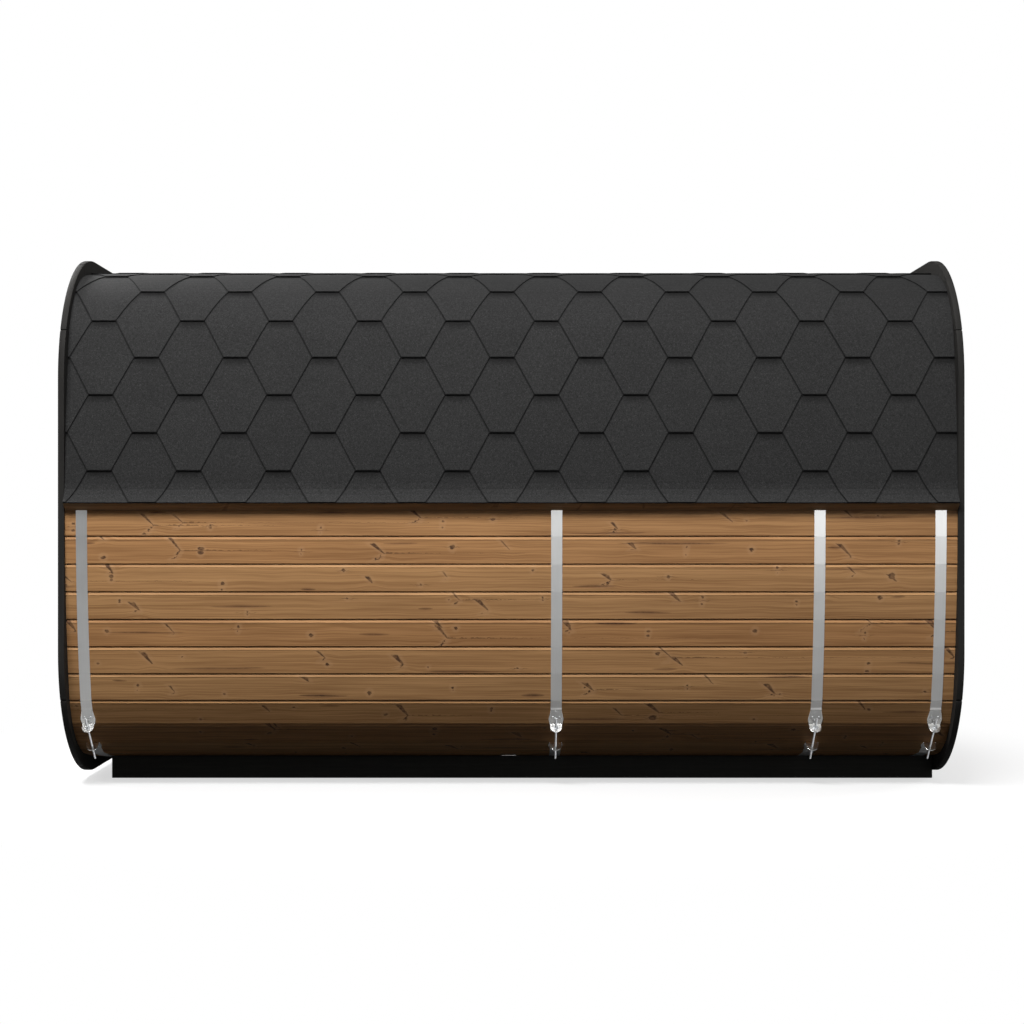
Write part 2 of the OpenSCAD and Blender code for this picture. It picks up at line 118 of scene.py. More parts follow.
class Recipe:
    """The node tree of one material or world."""

    def __init__(self, owner: bpy.types.Material | bpy.types.World) -> None:
        """Takes over the owner's tree and empties it."""
        self.owner = owner
        owner.use_nodes = True
        self.tree = owner.node_tree
        self.tree.nodes.clear()

    def node(self, kind: str, settings: dict | None = None,
             inputs: dict | None = None) -> bpy.types.Node:
        """Makes a node, sets it up and then fills its sockets.

        Args:
            kind: The node's type.
            settings: Its own settings.
            inputs: Values or links by socket name or number.

        Returns:
            The node.
        """
        made = self.tree.nodes.new(kind)
        for key, value in (settings or {}).items():
            setattr(made, key, value)
        for key, value in (inputs or {}).items():
            socket = made.inputs[key]
            if isinstance(value, Wire):
                self.tree.links.new(value.socket, socket)
            else:
                opaque = socket.type == "RGBA" and len(value) == 3
                socket.default_value = (*value, 1.0) if opaque else value
        return made

    def wire(self, kind: str, settings: dict | None = None, inputs: dict | None = None,
             out: int | str = 0) -> Wire:
        """Makes a node, as node does, and returns the wanted one of its outputs."""
        return Wire(self, self.node(kind, settings, inputs).outputs[out])

    def split(self, vector: Wire) -> Trio:
        """The three parts of a vector."""
        made = self.node("ShaderNodeSeparateXYZ", None, {0: vector})
        return tuple(Wire(self, made.outputs[k]) for k in range(3))

    def join(self, x: Number, y: Number, z: Number = 0.0) -> Wire:
        """A vector of three numbers."""
        return self.wire("ShaderNodeCombineXYZ", None, {0: x, 1: y, 2: z})

    def uv(self, name: str) -> tuple[Wire, Wire]:
        """The two numbers of a UV map."""
        return self.split(self.wire("ShaderNodeUVMap", {"uv_map": name}))[:2]

    def place(self) -> Trio:
        """The place on the object, in metres."""
        return self.split(self.wire("ShaderNodeTexCoord", None, None, "Object"))

    def dice(self, *seeds: Number) -> Trio:
        """Three even random numbers that depend only on the seeds."""
        spot = self.join(*(*seeds, 0.0, 0.0)[:3])
        made = self.node("ShaderNodeTexWhiteNoise", {"noise_dimensions": "3D"}, {"Vector": spot})
        return self.split(Wire(self, made.outputs["Color"]))

    def noise(self, x: Number, y: Number, z: Number, detail: float = 2.0,
              rough: float = 0.5) -> Wire:
        """Cloudy noise about a half, one unit wide, with a number and strength of finer layers."""
        sockets = {"Vector": self.join(x, y, z), "Scale": 1.0, "Detail": detail, "Roughness": rough}
        return self.wire("ShaderNodeTexNoise", {"noise_dimensions": "3D"}, sockets)

    def mix(self, share: Number, low: Wire | Colour, high: Wire | Colour, blend: str = "MIX") -> Wire:
        """Mixes two colours, with a share of the second, in one of the node's ways."""
        return self.wire("ShaderNodeMix", {"data_type": "RGBA", "blend_type": blend},
                         {0: share, 6: low, 7: high}, 2)

    def tint(self, colour: Wire | Colour, level: Wire) -> Wire:
        """Makes a colour lighter or darker by a factor."""
        grey = self.wire("ShaderNodeCombineColor", None, {0: level, 1: level, 2: level})
        return self.mix(1.0, colour, grey, "MULTIPLY")

    def bump(self, height: Wire, depth: float, strength: float = 1.0) -> Wire:
        """Turns a height from nought to one into a normal; a height of one is that many metres."""
        sockets = {"Strength": strength, "Distance": depth, "Height": height}
        return self.wire("ShaderNodeBump", None, sockets)

    def blend(self, share: Wire, low: Wire, high: Wire) -> Wire:
        """Mixes two shaders, with a share of the second."""
        return self.wire("ShaderNodeMixShader", None, {0: share, 1: low, 2: high})

    def finish(self, kind: str, shader: Wire) -> None:
        """Links the shader to the output of a material or a world."""
        self.node(f"ShaderNodeOutput{kind}", None, {"Surface": shader})

    def surface(self, **inputs: object) -> bpy.types.Material:
        """Finishes the material with its surface shader.

        Args:
            **inputs: Values or links by the shader's socket names, with _ for a space.

        Returns:
            The material.
        """
        sockets = {key.replace("_", " "): value for key, value in inputs.items()}
        self.finish("Material", self.wire("ShaderNodeBsdfPrincipled", None, sockets))
        return self.owner


class Slot(Enum):
    """Names of material slots."""

    STAVES = "stave_wood"
    WALLS = "wall_wood"
    BATTENS = "batten_wood"
    DECK = "deck_wood"
    GRIPS = "grip_wood"
    RINGS = "black_wood"
    BEAMS = "black_beam"
    SHINGLES = "shingles"
    STRAPS = "steel_strap"
    PLATES = "steel_plate"
    ZINC = "zinc_steel"
    GLASS = "tinted_glass"


@dataclass(frozen=True)
class Outline:
    """The rounded square round which the staves are laid, about the centre line."""

    half: float = 1.036
    bow_r: float = 3.600
    corner_r: float = 0.350
    stave_w: float = 0.108

    @property
    def bow_a(self) -> float:
        """The angle from the middle of a side to the start of its corner."""
        share = (self.bow_r - self.half) / (self.bow_r - self.corner_r)
        return math.acos(share / math.sqrt(2)) - math.pi / 4

    @property
    def bow_l(self) -> float:
        """The length of half a side."""
        return self.bow_r * self.bow_a

    @property
    def quarter(self) -> float:
        """The length of a quarter of the outline."""
        return 2 * (self.bow_l + self.corner_r * (math.pi / 4 - self.bow_a))

    @property
    def staves(self) -> int:
        """How many staves there are."""
        return 4 * round((4 * self.quarter / self.stave_w - 3) / 4) + 3

    @property
    def pitch(self) -> float:
        """The distance from stave to stave."""
        return 4 * self.quarter / self.staves

    @property
    def last(self) -> int:
        """The number of the edge at the middle of the floor."""
        return (self.staves - 1) // 2

    def _half_arc(self, s: float) -> tuple[Vector, Vector]:
        """A point from the middle of a side to the middle of its corner, and the way out of it."""
        if s < self.bow_l:
            a = s / self.bow_r
            centre, radius = Vector((self.half - self.bow_r, 0.0)), self.bow_r
        else:
            a = self.bow_a + (s - self.bow_l) / self.corner_r
            corner = (self.bow_r - self.corner_r) * math.sin(self.bow_a)
            centre, radius = Vector((corner, corner)), self.corner_r
        out = Vector((math.cos(a), math.sin(a)))
        return centre + radius * out, out

    def at(self, s: float) -> tuple[Vector, Vector]:
        """A point of the near half and the way out of it.

        Args:
            s: The distance from the middle of the roof, round the near side to the floor.

        Returns:
            The point and the direction, both as (y, z).
        """
        low = s > self.quarter
        along = s - self.quarter if low else self.quarter - s
        swap = along > self.quarter / 2
        pair = self._half_arc(self.quarter - along if swap else along)
        flip = -1.0 if low else 1.0
        turned = [(p.y, p.x) if swap else (p.x, p.y) for p in pair]
        return tuple(Vector((-y, flip * z)) for y, z in turned)

    def edge(self, i: int) -> Vector:
        """The outer edge between two staves, from 0 beside the top one round the near side."""
        if i < 0 or i > self.last:
            near = self.edge(-1 - i if i < 0 else 2 * self.last - i)
            return Vector((-near.x, near.y))
        return self.at((i + 0.5) * self.pitch)[0]

    def face_out(self, i: int) -> Vector:
        """The way out of the stave that follows edge i."""
        down = (self.edge(i + 1) - self.edge(i)).normalized()
        return Vector((down.y, -down.x))

    def inner_edge(self, i: int, depth: float) -> Vector:
        """Edge i moved into the staves along the plane in which two of them meet."""
        a, b = self.face_out(i - 1), self.face_out(i)
        return self.edge(i) - depth * (a + b) / (1 + a.dot(b))


OUTLINE = Outline()
RING_LOW, RING_HIGH = (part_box("front_ring_bottom")[0].z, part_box("front_ring_top")[1].z)
AXIS_Z = (RING_LOW + RING_HIGH) / 2
STAVES_X = (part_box("shell_floor")[0].x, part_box("shell_floor")[1].x)


def in_space(x: float, spot: Vector) -> Vector:
    """A place along the building and a point of a section, as a point in space."""
    return Vector((x, spot.x, spot.y + AXIS_Z))


def placed(name: str, data: bpy.types.ID) -> bpy.types.Object:
    """A new object in the scene."""
    thing = bpy.data.objects.new(name, data)
    bpy.context.scene.collection.objects.link(thing)
    return thing


def solid(name: str, bm: BMesh, finish: bpy.types.Material) -> bpy.types.Object:
    """Turns a bmesh into an object of one material.

    Args:
        name: The object's name.
        bm: The mesh, which is used up.
        finish: The material.

    Returns:
        The object.
    """
    mesh = bpy.data.meshes.new(name)
    bm.to_mesh(mesh)
    bm.free()
    mesh.materials.append(finish)
    return placed(name, mesh)


@dataclass
class SubAssembly:
    """A group of pieces that are made together."""

    made: list[str] = field(default_factory=list, init=False)

    def keep(self, name: str, bm: BMesh, finish: bpy.types.Material, slot: Slot,
             nodes: Iterable[str] = ()) -> None:
        """Turns a bmesh into a piece of the building.

        Args:
            name: The piece's name.
            bm: The mesh, which is used up.
            finish: Its material.
            slot: Not used.
            nodes: The CAD nodes that it stands for.
        """
        piece = solid(name, bm, finish)
        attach(piece, "root")
        if nodes:
            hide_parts(*nodes)
        self.made.append(name)
        log.info("%s: %d faces", name, len(piece.data.polygons))

    def soften(self, node: str, name: str, width: float, finish: bpy.types.Material, slot: Slot,
               segments: int = 2) -> None:
        """Keeps a CAD node's shape with its sharp edges bevelled."""
        self.keep(name, eased(node, width, segments), finish, slot, [node])

    def dress(self, nodes: Iterable[str], finish: bpy.types.Material, slot: Slot) -> None:
        """Gives CAD nodes their finish.

        Args:
            nodes: The nodes' names.
            finish: The material.
            slot: Not used.
        """
        for name in nodes:
            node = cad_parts[name]
            node.data.materials.clear()
            node.data.materials.append(finish)
            self.made.append(name)
            log.info("%s: dressed", name)


# How near two vertices of one point are, and the angles of a flat edge and a sharp one
DOUBLE = 0.02 * MM
FLAT, SHARP = math.radians(0.5), math.radians(30.0)


def merged(node: str) -> BMesh:
    """A copy of a CAD node's mesh with its doubles merged and its flat faces whole."""
    bm = bmesh.new()
    bm.from_mesh(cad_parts[node].data)
    bmesh.ops.remove_doubles(bm, verts=bm.verts, dist=DOUBLE)
    bmesh.ops.dissolve_limit(bm, angle_limit=FLAT, verts=bm.verts, edges=bm.edges, delimit=set())
    return bm


def ease(bm: BMesh, width: float, edges: Iterable[BMEdge] | None = None, segments: int = 2) -> None:
    """Bevels edges.

    Args:
        bm: The mesh.
        width: The width of the bevel.
        edges: The edges, or None for every sharp one.
        segments: How many faces the bevel has.
    """
    if edges is None:
        edges = [e for e in bm.edges if e.is_manifold and e.calc_face_angle(0) > SHARP]
    bmesh.ops.bevel(bm, geom=list(edges), offset=width, offset_type="OFFSET", segments=segments,
                    profile=0.5, affect="EDGES", clamp_overlap=True, material=-1)


def eased(node: str, width: float, segments: int = 2) -> BMesh:
    """A merged copy of a CAD node with its sharp edges bevelled."""
    bm = merged(node)
    ease(bm, width, segments=segments)
    return bm


@dataclass(frozen=True)
class BoardMap:
    """Writes a UV map that runs along each board and counts the boards across."""

    along: Vector
    across: Vector
    width: float
    margin: float = 0.005

    def write(self, bm: BMesh, faces: Iterable[BMFace], board: int, start: Vector) -> None:
        """Maps one board.

        Args:
            bm: The mesh.
            faces: The board's faces.
            board: The board's number.
            start: A point on the board's first side.
        """
        layer = bm.loops.layers.uv.get("boards") or bm.loops.layers.uv.new("boards")
        for face in faces:
            for loop in face.loops:
                share = (loop.vert.co - start).dot(self.across) / self.width
                share = min(max(share, self.margin), 1 - self.margin)
                loop[layer].uv = (loop.vert.co.dot(self.along), board + share)


def join(parts: Sequence[BMesh]) -> BMesh:
    """Puts several meshes into one and frees them."""
    whole = bmesh.new()
    for part in parts:
        scratch = bpy.data.meshes.new("scratch")
        part.to_mesh(scratch)
        whole.from_mesh(scratch)
        bpy.data.meshes.remove(scratch)
        part.free()
    return whole


def shift(bm: BMesh, geom: Iterable[object], way: Sequence[float]) -> None:
    """Moves the vertices that are among some geometry."""
    bmesh.ops.translate(bm, vec=way, verts=[g for g in geom if isinstance(g, BMVert)])


def prism(points: Sequence[Vector], way: Vector) -> BMesh:
    """A closed prism from a flat outline.

    Args:
        points: The outline's corners.
        way: How far it is extruded, as a vector.

    Returns:
        The mesh, with its faces outwards.
    """
    bm = bmesh.new()
    base = bm.faces.new([bm.verts.new(p) for p in points])
    shift(bm, bmesh.ops.extrude_face_region(bm, geom=[base], use_keep_orig=True)["geom"], way)
    bmesh.ops.recalc_face_normals(bm, faces=bm.faces)
    return bm


# The long edges of a board: how sharp they are, how well they run along it and how near its side
CORNER, PARALLEL, ON_SIDE = 0.5, 0.99, 0.1 * MM


def slice_boards(node: str, board_map: BoardMap, gap: float, groove: float, first: int = 0) -> BMesh:
    """Cuts a CAD slab into boards with chamfered long edges.

    Args:
        node: The slab's node.
        board_map: The boards' directions and width.
        gap: The gap between boards.
        groove: The size of the chamfers along the boards.
        first: The number of the first board.

    Returns:
        The boards as one mesh.
    """
    low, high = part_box(node)
    across, width = board_map.across, board_map.width
    start, end = low.dot(across), high.dot(across)
    count = max(1, round((end - start) / width))
    step = (end - start) / count
    fitted = BoardMap(board_map.along, across, step)
    boards = []
    for k in range(count):
        bm = merged(node)
        sides = (
            start + k * step + (gap / 2 if k else 0.0),
            start + (k + 1) * step - (gap / 2 if k < count - 1 else 0.0),
        )
        for side, way in zip(sides, (-1.0, 1.0)):
            cut = bmesh.ops.bisect_plane(
                bm, geom=[*bm.verts, *bm.edges, *bm.faces], dist=0.01 * MM,
                plane_co=across * side, plane_no=across * way, clear_outer=True)["geom_cut"]
            rim = [g for g in cut if isinstance(g, BMEdge) and g.is_boundary]
            if rim:
                bmesh.ops.holes_fill(bm, edges=rim, sides=0)
        bmesh.ops.remove_doubles(bm, verts=bm.verts, dist=DOUBLE)
        long_edges = [
            e for e in bm.edges
            if e.is_manifold and e.calc_face_angle(0) > CORNER
            and abs((e.verts[0].co - e.verts[1].co).normalized().dot(board_map.along)) > PARALLEL
            and any(abs(e.verts[0].co.dot(across) - side) < ON_SIDE for side in sides)
        ]
        if groove and long_edges:
            ease(bm, groove, long_edges, segments=1)
        bmesh.ops.recalc_face_normals(bm, faces=bm.faces)
        fitted.write(bm, bm.faces, first + k, across * (start + k * step))
        boards.append(bm)
    return join(boards)


@dataclass(frozen=True)
class Cells:
    """Places along each board at which something may lie, at most one to a cell."""

    run: Wire
    across: Wire
    board: Wire
    recipe: Recipe
    length: float
    seed: float
    spread: float
    margin: float = 0.22
    next_seed: float = 5.5

    def local(self) -> tuple[Wire, Wire, Trio, Trio]:
        """The distance from the cell's place, along and across, and six random numbers."""
        cell = self.run / self.length
        number = cell.floor()
        first = self.recipe.dice(number, self.board, self.seed)
        second = self.recipe.dice(number, self.board, self.seed + self.next_seed)
        along = (cell - number - (first[0] * (1 - 2 * self.margin) + self.margin)) * self.length
        return along, self.across - (first[1] - 0.5) * self.spread, first, second


@dataclass(frozen=True)
class Wood:
    """Heat-treated pine boards, read from the boards map."""

    name: str
    width: float
    light: Colour = paint(192, 147, 98)
    dark: Colour = paint(142, 101, 61)
    knot: Colour = paint(52, 27, 16)
    knot_core: Colour = paint(98, 58, 36)
    halo: Colour = paint(196, 154, 112)
    warm: Colour = paint(255, 228, 206)
    rough: float = 0.62
    knots: float = 1.0
    # How far down each board the painted shade line and the painted highlight lie
    shade_down: float = 0.0165
    shine_down: float = 0.0245
    seed: float = 3.1
    stock: float = 31.0

    def _spikes(self, cells: Cells, wobble: Wire, bold: float) -> tuple[Wire, ...]:
        """Knots cut along their length: two legs that spread from a point, and a check beyond it.

        Args:
            cells: Where they may lie.
            wobble: Noise that makes their edges uneven.
            bold: How thick the thickest is, from its middle, in metres.

        Returns:
            The knot, its core, its halo and how close it is.
        """
        along, across, first, second = cells.local()
        along, across = along + (wobble - 0.5) * 0.020, across + (wobble - 0.5) * 0.014
        # The two legs, of unequal reach, leave the point at a slant and get thicker as they go
        arm = abs(across)
        below = across.over(0.0)
        reach = below * (first[2] * 0.050 - 0.014) + (1 - below) * (second[0] * 0.030 + 0.020)
        far = abs(along + arm * (second[1] * 0.5 + 0.7)) * 0.72
        size = (second[2] * 0.55 + 0.45) * bold
        thick = size * ((arm / reach.most(0.004)).least(1.0) * 0.8 + 0.2)
        ends = (arm - reach).fade(0.004, -0.004)
        leg = (far - thick * 1.25).fade(0.0026, -0.0020) * ends * (1 - below * wobble.fade(0.56, 0.46))
        core = (far - thick + 0.0022).fade(0.0014, -0.0018) * (arm - reach).fade(-0.001, -0.006)
        halo = (far - thick * 1.5 - 0.003).fade(0.012, -0.002) * (arm - reach).fade(0.016, -0.002)
        # Some have a check that runs on from the point and thins out along the grain
        thin = (1 - (along / (second[0] * 0.34 + 0.02)).least(1.0)) * 0.0030 + 0.0004
        check = (arm - thin * wobble.fade(0.3, 0.7)).fade(0.0010, -0.0004)
        check = check * along.fade(-0.002, 0.004) * first[2].over(0.6)
        near = abs(along).fade(0.07, 0.0) * arm.fade(0.05, 0.0)
        return leg.most(check * 0.6), core * (1 - check), halo, near

    def _pins(self, cells: Cells, wobble: Wire) -> Trio:
        """Small round knots, many with a fine split through them.

        Args:
            cells: Where they may lie.
            wobble: Noise that makes their edges uneven.

        Returns:
            The knot, its core and its halo.
        """
        along, across, first, second = cells.local()
        along, across = along + (wobble - 0.5) * 0.014, across + (wobble - 0.5) * 0.012
        # Where there is a gap, the knot becomes a pair, one on each side of its place
        gap = ((second[2] - 0.45) * 0.032).most(0.0)
        arm = abs(across)
        along = along + gap * across * 8
        far = (along * along * (second[1] + 0.35) + (arm - gap) ** 2) ** 0.5
        column = (along * along + (arm - gap).most(0.0) ** 2) ** 0.5
        size = (first[2] * first[2] * 0.0060 + 0.0034) * (1 - across.over(0.0) * second[1] * 0.7)
        knot = (far - size).fade(0.0022, -0.0016)
        split = arm.fade(0.0018, 0.0002) * abs(along).fade(0.060, 0.004) * second[0].over(0.6) * 0.8
        halo = (column - size * 1.6 - 0.004).fade(0.010, -0.002)
        return knot.most(split), (far - size * 0.45).fade(0.0012, -0.0016), halo

    def _shakes(self, cells: Cells, wobble: Wire) -> tuple[Wire, Wire]:
        """Long splits and resin streaks along the grain, and the stain round them."""
        along, across, first, second = cells.local()
        across = across + (wobble - 0.5) * 0.010
        half = first[2] ** 2 * 0.22 + 0.030
        taper = 1 - (abs(along) / half).least(1.0) ** 2
        thin = taper * (wobble.fade(0.3, 0.7) * 0.0022 + 0.0006) * (second[1] * 0.8 + 0.4)
        line = (abs(across) - thin).fade(0.0012, -0.0006) * taper.fade(0.0, 0.25)
        return line * (second[2] * 0.4 + 0.6), (abs(across) - thin * 2 - 0.001).fade(0.004, 0.0) * taper

    def _painted_edge_lines(self, share: Wire, luck: Wire) -> Wire:
        """A level that paints a shade line beside the top chamfer of some boards, and a faint painted
        highlight a little below it on every board.
        """
        down = share * self.width
        dark = abs(down - self.shade_down).fade(0.0040, 0.0012) * luck.fade(0.15, 0.8) * 0.24
        bright = abs(down - self.shine_down).fade(0.0040, 0.0010) * 0.06
        return 1 - dark + bright

    def make(self) -> bpy.types.Material:
        """Builds the material."""
        r = Recipe(bpy.data.materials.new(self.name))
        run, count = r.uv("boards")
        board = count.floor()
        share = count - board
        across = (share - 0.5) * self.width
        luck = r.dice(board, self.seed)
        run = run + luck[0] * self.stock
        wobble = r.noise(run * 55, across * 75, board * 1.7, 2.0, 0.6)
        sway = r.noise(run * 6, across * 9, board * 2.3, 1.0)

        cells = partial(Cells, run, across, board, r)
        leg, leg_core, leg_halo, near = self._spikes(
            cells(length=0.97, seed=1.0, spread=0.05), wobble, bold=0.0092)
        leg_b, core_b, halo_b, near_b = self._spikes(
            cells(length=1.57, seed=2.0, spread=0.09), wobble, bold=0.0048)
        pin, pin_core, pin_halo = self._pins(cells(length=0.43, seed=3.0, spread=0.07), wobble)
        shake, stain = self._shakes(cells(length=0.97, seed=4.0, spread=0.09), sway)

        # The grain, which bends round the knots: broad bands, narrow rings, fibres and pale patches
        bent = across + (near - near_b) * across * 0.35 + (sway - 0.5) * 0.012
        broad = r.noise(run * 1.5, bent * 52, board * 5.1, 4.0, 0.62)
        rings = r.noise(run * 2.2, bent * 190, board * 3.3, 2.0, 0.5)
        fibre = r.noise(run * 16, across * 800, board * 1.9, 2.0, 0.6)
        patch = r.noise(run * 2.4, across * 9, board * 4.4, 2.0, 0.5)

        grain = broad.fade(0.34, 0.66) * 0.40 + rings.fade(0.38, 0.64) * 0.40 + fibre * 0.20
        body = r.mix(grain * 0.92 + share * 0.22 - 0.10, self.light, self.dark)
        # The board's tone, with the painted shade line and painted highlight beside its top chamfer
        body = r.tint(body, (luck[1] * 0.12 + 0.94) * (patch * 0.20 + 0.90) * self._painted_edge_lines(share, luck[2]))
        body = r.mix(luck[2] * 0.4, body, r.mix(1.0, body, self.warm, "MULTIPLY"))
        body = r.mix(leg_halo.most(halo_b).most(pin_halo) * 0.26 * self.knots, body, self.halo)
        body = r.mix(stain * 0.35 * self.knots, body, self.knot_core)
        speck = wobble.fade(0.38, 0.62)
        knot = leg.most(leg_b).most(pin).most(shake) * self.knots
        core = leg_core.most(core_b).most(pin_core * 0.25) * (1 - shake)
        inside = r.mix(speck, self.knot_core, self.knot)
        body = r.mix(knot * (speck * 0.26 + 0.62), body, r.mix(core * 0.85, self.knot, inside))
        height = 1 - grain * 0.3 - fibre * 0.2 - knot * 0.5
        return r.surface(
            Base_Color=body,
            Roughness=self.rough + grain * 0.08 + knot * 0.05,
            Normal=r.bump(height, 0.4 * MM, 0.6),
            Specular_IOR_Level=0.28,
        )


@dataclass(frozen=True)
class Stain:
    """Dark stained or painted timber, read from the place on the object."""

    name: str
    colour: Colour
    pale: Colour
    stretch: tuple[float, float, float] = (4.0, 60.0, 60.0)
    rough: float = 0.7
    pore: float = 380.0

    def make(self) -> bpy.types.Material:
        """Builds the material."""
        r = Recipe(bpy.data.materials.new(self.name))
        x, y, z = r.place()
        grain = r.noise(x * self.stretch[0], y * self.stretch[1], z * self.stretch[2], 3.0, 0.6)
        cloud = r.noise(x * 3, y * 3, z * 3, 2.0)
        pores = r.noise(x * self.pore, y * self.pore, z * self.pore, 1.0)
        body = r.mix(grain.fade(0.35, 0.75) * 0.6 + cloud * 0.4, self.colour, self.pale)
        return r.surface(
            Base_Color=body,
            Roughness=self.rough + (grain - 0.5) * 0.16,
            Normal=r.bump(grain * 0.6 + pores * 0.4, 0.3 * MM, 0.5),
            Specular_IOR_Level=0.12,
        )


@dataclass(frozen=True)
class Felt:
    """Mineral-faced roofing felt cut to tabs, read from the courses map.

    The painted shades lie under the tips of the tabs above and along their slants, darker along one
    slant, and painted shade lines run along the cut edges of each tab. Between the two heights near the
    ridge the felt is darker, which is painted shade on its upward-facing top.
    """

    name: str = "roofing_felt"
    body: Colour = paint(43, 43, 43)
    fleck: Colour = paint(84, 84, 84)
    pit: Colour = paint(14, 14, 15)
    course: float = 0.148
    tab: float = 0.346
    tip: float = 0.094
    row_step: float = 10.0
    grain: float = 420.0
    clump: float = 130.0
    seed: float = 7.7
    # How far the painted shades under the tips, along the slants and along the cut edges reach, and how
    # dark each gets
    tip_shade: tuple[float, float] = (0.042, 0.004)
    slant_shade: float = 0.007
    rim: tuple[float, float] = (0.0045, 0.001)
    darkest: tuple[float, float, float] = (0.68, 0.7, 0.75)
    # The heights between which the felt darkens towards the ridge, a painted shade on its upward-facing
    # top, and by how much
    dim: tuple[float, float] = (1.74, 2.06)
    ridge_shade: float = 0.36

    @property
    def spread(self) -> float:
        """How much wider half a tab gets for each metre up its slanting side."""
        return (self.tab - 2 * self.tip) / 2 / self.course

    def make(self) -> bpy.types.Material:
        """Builds the material."""
        r = Recipe(bpy.data.materials.new(self.name))
        run, height = r.uv("courses")
        row = (height / self.row_step).floor()
        up = height - row * self.row_step
        cell = run / self.tab
        number = cell.floor()
        side = (cell - number - 0.5) * self.tab
        half_tip = self.tip / 2
        from_top = 2 * self.course - up
        tab_edge = half_tip + up * self.spread - abs(side)
        over_side = (half_tip + from_top * self.spread - abs(side)) / math.hypot(1.0, self.spread)
        upper = up.over(self.course)
        # Painted shade under the courses above, deeper under tab tips than along the slants and darker
        # along one slant, and painted shade lines along each tab's own cut edges
        tips = from_top.fade(*self.tip_shade) * upper * abs(side).fade(half_tip + 0.03, half_tip - 0.02)
        slants = over_side.fade(self.slant_shade, 0.0) * upper * (side.over(0.0) * 0.3 + 0.6)
        rim_shades = tab_edge.least(up).fade(*self.rim) * (1 - upper)
        luck = r.dice(number, row, self.seed)
        x, y, z = r.place()
        grit = r.noise(x * self.grain, y * self.grain, z * self.grain, 1.0, 0.6)
        stone = r.noise(x * self.clump, y * self.clump, z * self.clump, 3.0, 0.75)
        cloud = r.noise(run * 5, up * 9, row * 3.3, 3.0)
        body = r.mix(grit.fade(0.58, 0.72) * 0.55, self.body, self.fleck)
        body = r.mix(grit.fade(0.44, 0.32) * 0.6, body, self.pit)
        level = (luck[0] * 0.12 + 0.94) * (cloud * 0.24 + 0.88) * (stone * 1.5 + 0.25)
        # Painted shade: darker towards the ridge, on the upward-facing top
        level = level * (1 - z.fade(*self.dim) * self.ridge_shade)
        for shade, dark in zip((tips, slants, rim_shades), self.darkest):
            level = level * (1 - shade * dark)
        body = r.tint(body, level)
        return r.surface(
            Base_Color=body,
            Roughness=0.86 + (grit - 0.5) * 0.12,
            Normal=r.bump(grit * 0.6 + stone * 0.4, 0.7 * MM, 0.55),
            Specular_IOR_Level=0.18,
        )


@dataclass(frozen=True)
class Steel:
    """Steel, brushed along the building, rolled or plated."""

    name: str
    colour: Colour
    rough: float
    brush: tuple[float, float, float] = (260.0, 6.0, 6.0)
    depth: float = 0.05
    mottle: float = 1.0

    def make(self) -> bpy.types.Material:
        """Builds the material."""
        r = Recipe(bpy.data.materials.new(self.name))
        x, y, z = r.place()
        lines = r.noise(x * self.brush[0], y * self.brush[1], z * self.brush[2], 3.0, 0.7)
        smear = r.noise(x * 9, y * 9, z * 9, 3.0, 0.6)
        uneven = (lines - 0.5) * 0.14 + (smear - 0.5) * 0.16
        return r.surface(
            Base_Color=r.tint(self.colour, lines * 0.12 + smear * 0.1 + 0.89),
            Metallic=1.0,
            Roughness=self.rough + uneven * self.mottle,
            Normal=r.bump(lines, self.depth * MM, 0.35 * self.mottle),
        )


@dataclass(frozen=True)
class Tinted:
    """Tempered glass with a grey tint."""

    name: str = "tinted_glass"
    colour: Colour = paint(150, 158, 160)

    def make(self) -> bpy.types.Material:
        """Builds the material."""
        r = Recipe(bpy.data.materials.new(self.name))
        x, y, z = r.place()
        film = r.noise(x * 4, y * 4, z * 4, 3.0, 0.6)
        return r.surface(
            Base_Color=self.colour,
            Transmission_Weight=1.0,
            Roughness=film.fade(0.5, 0.9) * 0.05 + 0.01,
            IOR=1.5,
        )


STAVE_WOOD = Wood("stave_wood", OUTLINE.pitch).make()
WALL_WOOD = Wood("wall_wood", 0.108, paint(172, 128, 88), paint(130, 90, 57)).make()
BATTEN_WOOD = Wood("batten_wood", 0.078, paint(192, 160, 122), paint(146, 116, 82), knots=0.4).make()
DECK_WOOD = Wood("deck_wood", 0.095, paint(164, 122, 84), paint(124, 86, 55), rough=0.68).make()
GRIP_WOOD = Wood("grip_wood", 0.030, paint(170, 124, 82), paint(134, 92, 58), rough=0.45,
                 knots=0.0).make()
RING_GRAINS = {"upright": (60.0, 60.0, 4.0), "level": (60.0, 4.0, 60.0), "corner": (60.0, 14.0, 14.0)}
RING_STAIN = {
    way: Stain(f"ring_stain_{way}", paint(34, 33, 32), paint(46, 45, 43), stretch).make()
    for way, stretch in RING_GRAINS.items()
}
BEAM_STAIN = Stain("beam_stain", paint(54, 54, 51), paint(70, 70, 67)).make()
FRAME_STAIN = Stain("frame_stain", paint(34, 34, 35), paint(44, 44, 45), (60.0, 60.0, 4.0), 0.6).make()
FELT = Felt()
ROOF_FELT = FELT.make()
STRAP_STEEL = Steel("strap_steel", paint(201, 201, 200), 0.36, mottle=0.3).make()
PLATE_STEEL = Steel("plate_steel", paint(222, 222, 220), 0.24, (40.0, 40.0, 40.0)).make()
ZINC_STEEL = Steel("zinc_steel", paint(196, 198, 200), 0.32, (90.0, 90.0, 90.0)).make()
CLEAR_GLASS = Tinted().make()


